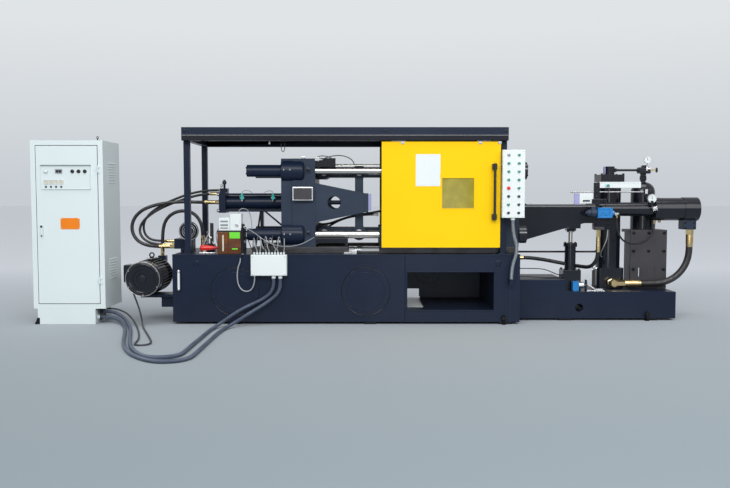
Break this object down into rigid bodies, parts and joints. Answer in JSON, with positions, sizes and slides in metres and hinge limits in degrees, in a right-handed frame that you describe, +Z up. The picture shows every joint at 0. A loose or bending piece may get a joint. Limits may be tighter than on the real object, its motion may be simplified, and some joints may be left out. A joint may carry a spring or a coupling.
{
  "type": "cold chamber die casting machine",
  "caption": "Horizontal cold chamber die casting machine: bed, toggle clamp on tie bars, sliding safety door, shot end with gas bottle, electrical cabinet and floor conduits.",
  "frame": {"origin": "on the floor, under the middle of the installation's overall length and depth", "axes": "+X along the bed, from the electrical cabinet to the shot end; +Y from the operator's side to the back; +Z up"},
  "size_m": [6.509, 2.7876, 1.87],
  "materials": {
    "machine_paint": "satin, near-black blue",
    "platen_paint": "satin, near-black blue",
    "yellow_paint": "gloss",
    "cabinet_paint": "fine texture, pale grey-green",
    "panel_paint": "satin",
    "bright_steel": "ground and chromed",
    "machined_steel": "machined",
    "valve_blue": "gloss",
    "brass": "dull",
    "black_rubber": "satin",
    "grey_conduit": "ribbed",
    "black_plastic": "satin",
    "window_glass": "clear, looking into the die space",
    "dial": "gloss",
    "amber_tank": "clear amber"
  },
  "bodies": {
    "machine": {"bed_tank": "machine_paint", "bed_bay": "machine_paint", "levelling_pads": "machine_paint", "guide_ways": "machined_steel", "bed_fittings": "machine_paint", "rear_platen": "platen_paint", "moving_platen": "platen_paint", "fixed_platen": "platen_paint", "tie_bars": "bright_steel", "tie_bar_covers": "machine_paint", "toggle_links": "platen_paint", "toggle_pins": "machined_steel", "crosshead": "platen_paint", "crosshead_guides": "platen_paint", "clamp_cylinder": "machine_paint", "clamp_stroke_gauge": "machined_steel", "guard_rails": "machine_paint", "guard_roof": "machine_paint", "guard_posts": "machine_paint", "rear_guard_panel": "yellow_paint", "operator_panel": "panel_paint", "operator_buttons": "dial", "cabinet_shell": "cabinet_paint", "cabinet_plinth": "cabinet_paint", "motor": "machine_paint", "hydraulic_pump": "machine_paint", "junction_box": "panel_paint", "lubricator": "amber_tank", "injection_base": "machine_paint", "injection_frame": "machine_paint", "shot_sleeve": "machined_steel", "shot_cylinder": "machine_paint", "intensifier": "machine_paint", "support_jack": "machine_paint", "accumulator": "machine_paint", "gas_bottle": "machine_paint", "bottle_bracket": "machine_paint", "directional_valves": "valve_blue", "gas_pipework": "machined_steel", "switch_rail": "panel_paint", "brass_fittings": "brass", "tank_manifold": "machine_paint", "hose_clamp_outer": "black_rubber", "hose_clamp_inner": "black_rubber", "hose_tank_arch": "black_rubber", "hose_shot_large": "black_rubber", "hose_frame_return": "black_rubber", "hose_cylinder_drain": "black_rubber", "conduit_panel": "grey_conduit", "conduit_floor_a": "grey_conduit", "conduit_floor_b": "grey_conduit", "cable_motor": "black_rubber", "conduit_junction_loop": "grey_conduit", "hose_ejector": "black_rubber"},
    "safety_door": {"safety_door_panel": "yellow_paint", "safety_door_window": "window_glass", "safety_door_handle": "black_plastic", "door_hangers": "machined_steel"},
    "cabinet_door_leaf": {"cabinet_door": "cabinet_paint", "cabinet_door_fittings": "black_plastic"}
  },
  "joints": [
    {"name": "safety_door_slide", "type": "slide", "parent": "machine", "child": "safety_door", "axis": [-1, 0, 0], "range_m": [0, 1.12]},
    {"name": "cabinet_door_hinge", "type": "hinge", "parent": "machine", "child": "cabinet_door_leaf", "pos_m": [-2.619, -0.486, 0.95], "axis": [0, 0, 1], "range_deg": [0, 110]}
  ]
}
